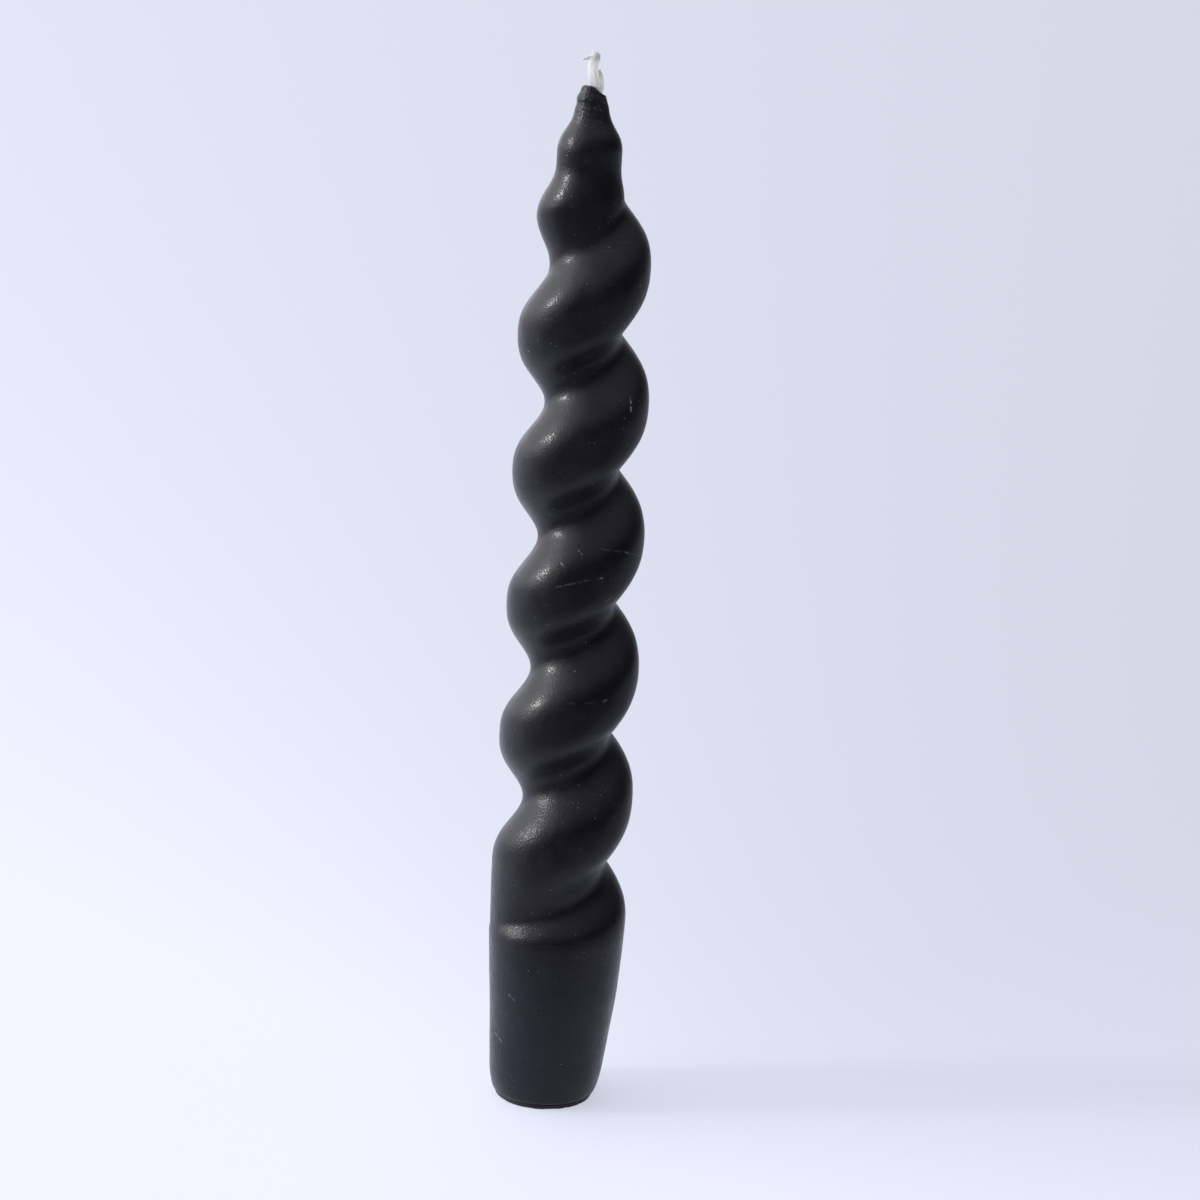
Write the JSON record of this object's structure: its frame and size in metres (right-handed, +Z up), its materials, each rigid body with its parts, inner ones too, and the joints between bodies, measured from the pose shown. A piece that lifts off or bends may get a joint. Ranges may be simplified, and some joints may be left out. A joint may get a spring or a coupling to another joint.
{
  "type": "spiral candle",
  "caption": "Black spiral candle: a corkscrew body of coated wax on a tapered foot, with a plain neck, a flared nose and a plaited cotton wick.",
  "frame": {"origin": "middle of the flat base that the candle stands on", "axes": "+Z up along the candle to the wick, -Y towards the viewer of the picture, +X to that viewer's right"},
  "size_m": [0.0247, 0.0245, 0.186],
  "materials": {
    "dyed_wax": "satin black candle wax",
    "pale_wax": "pale paraffin wax",
    "wick_cotton": "waxed white cotton yarn"
  },
  "bodies": {
    "root": {"dyed_wax_coat": "dyed_wax", "wax_core": "pale_wax", "wick_ply_1": "wick_cotton", "wick_ply_2": "wick_cotton", "wick_ply_3": "wick_cotton"}
  },
  "joints": []
}
